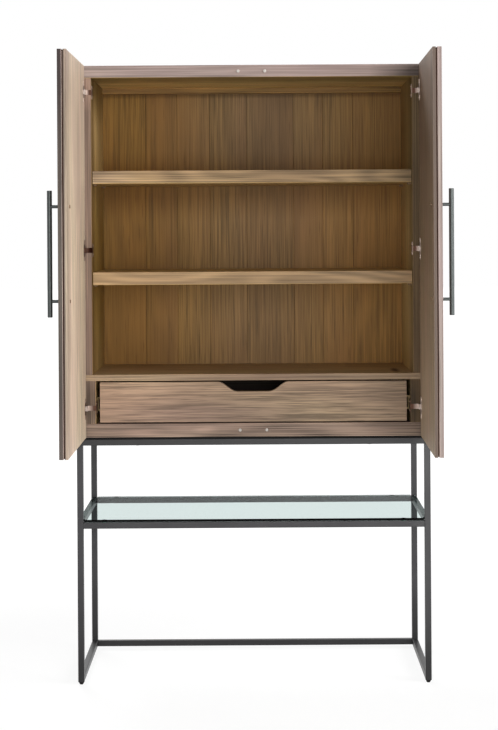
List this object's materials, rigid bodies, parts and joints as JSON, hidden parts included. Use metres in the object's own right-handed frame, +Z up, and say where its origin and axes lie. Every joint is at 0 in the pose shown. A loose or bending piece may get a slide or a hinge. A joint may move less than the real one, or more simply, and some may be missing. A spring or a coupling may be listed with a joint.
{
  "type": "bar cabinet",
  "caption": "Bar cabinet: a wooden case with layered doors, loose shelves and a finger-cut drawer, on a square-tube steel stand with a glass shelf",
  "frame": {"origin": "on the floor, under the middle of the box round the whole, doors open", "axes": "X to the right seen from the front, Y to the back, Z up; the doors open towards -Y"},
  "size_m": [0.9624, 0.8681, 1.6],
  "materials": {
    "stand_steel": "satin dark bronze coat",
    "case_wood": "oiled oak, fine open grain",
    "door_wood": "oiled oak veneer, grain upright",
    "core_board": "dark stained core, set in as a groove",
    "drawer_wood": "plain sanded board",
    "shelf_glass": "clear float glass with ground edges",
    "handle_metal": "satin dark grey coat",
    "hinge_nickel": "bright nickel",
    "screw_steel": "zinc plated",
    "pin_steel": "zinc plated",
    "slide_zinc": "zinc plated sheet",
    "black_plastic": "matte black",
    "clear_rubber": "soft clear discs",
    "bumper_plastic": "soft clear domes"
  },
  "bodies": {
    "cabinet": {"leg_front_left": "stand_steel", "leg_front_right": "stand_steel", "leg_rear_left": "stand_steel", "leg_rear_right": "stand_steel", "top_rail_front": "stand_steel", "top_rail_rear": "stand_steel", "top_rail_left": "stand_steel", "top_rail_right": "stand_steel", "shelf_rail_front": "stand_steel", "shelf_rail_rear": "stand_steel", "shelf_rail_left": "stand_steel", "shelf_rail_right": "stand_steel", "floor_rail_left": "stand_steel", "floor_rail_right": "stand_steel", "floor_rail_rear": "stand_steel", "foot_glides": "black_plastic", "case_strips": "black_plastic", "stand_bolts": "screw_steel", "glass_pads": "clear_rubber", "top_board": "case_wood", "bottom_board": "case_wood", "upper_side_left": "case_wood", "upper_side_right": "case_wood", "lower_side_left": "case_wood", "lower_side_right": "case_wood", "divider_board": "case_wood", "back_boards": "case_wood", "rear_cleat": "case_wood", "shelf_pins": "pin_steel", "door_bumpers": "bumper_plastic", "hinge_arms": "hinge_nickel", "arm_screws": "screw_steel", "slide_outers": "slide_zinc"},
    "left_door": {"left_outer_leaf": "door_wood", "left_core_leaf": "core_board", "left_inner_leaf": "door_wood", "left_handle_bar": "handle_metal", "left_handle_posts": "handle_metal", "left_handle_screws": "screw_steel", "left_hinge_cups": "hinge_nickel", "left_cup_screws": "screw_steel"},
    "right_door": {"right_outer_leaf": "door_wood", "right_core_leaf": "core_board", "right_inner_leaf": "door_wood", "right_handle_bar": "handle_metal", "right_handle_posts": "handle_metal", "right_handle_screws": "screw_steel", "right_hinge_cups": "hinge_nickel", "right_cup_screws": "screw_steel"},
    "drawer": {"drawer_front": "case_wood", "drawer_side_left": "drawer_wood", "drawer_side_right": "drawer_wood", "drawer_back": "drawer_wood", "drawer_base": "drawer_wood", "slide_inners": "slide_zinc"},
    "slide_runners": {"slide_middles": "slide_zinc"},
    "upper_shelf": {"upper_shelf": "case_wood"},
    "lower_shelf": {"lower_shelf": "case_wood"},
    "glass_shelf": {"glass_shelf": "shelf_glass"}
  },
  "joints": [
    {"name": "left_door_hinge", "type": "hinge", "parent": "cabinet", "child": "left_door", "pos_m": [-0.443, 0.0075, 1.123], "axis": [0, 0, -1], "range_deg": [-90, 12]},
    {"name": "right_door_hinge", "type": "hinge", "parent": "cabinet", "child": "right_door", "pos_m": [0.443, 0.0075, 1.123], "axis": [0, 0, 1], "range_deg": [-89, 13]},
    {"name": "drawer_slide", "type": "slide", "parent": "cabinet", "child": "drawer", "axis": [0, -1, 0], "range_m": [0, 0.285]},
    {"name": "slide_runner_slide", "type": "slide", "parent": "cabinet", "child": "slide_runners", "axis": [0, -1, 0], "range_m": [0, 0.1425]},
    {"name": "upper_shelf_slide", "type": "slide", "parent": "cabinet", "child": "upper_shelf", "axis": [0, -1, 0], "range_m": [0, 0.12]},
    {"name": "lower_shelf_slide", "type": "slide", "parent": "cabinet", "child": "lower_shelf", "axis": [0, -1, 0], "range_m": [0, 0.12]},
    {"name": "glass_lift", "type": "slide", "parent": "cabinet", "child": "glass_shelf", "axis": [0, 0, 1], "range_m": [0, 0.12]}
  ],
  "couplings": [
    {"joint": "slide_runner_slide", "follows": "drawer_slide", "ratio": 0.5}
  ]
}
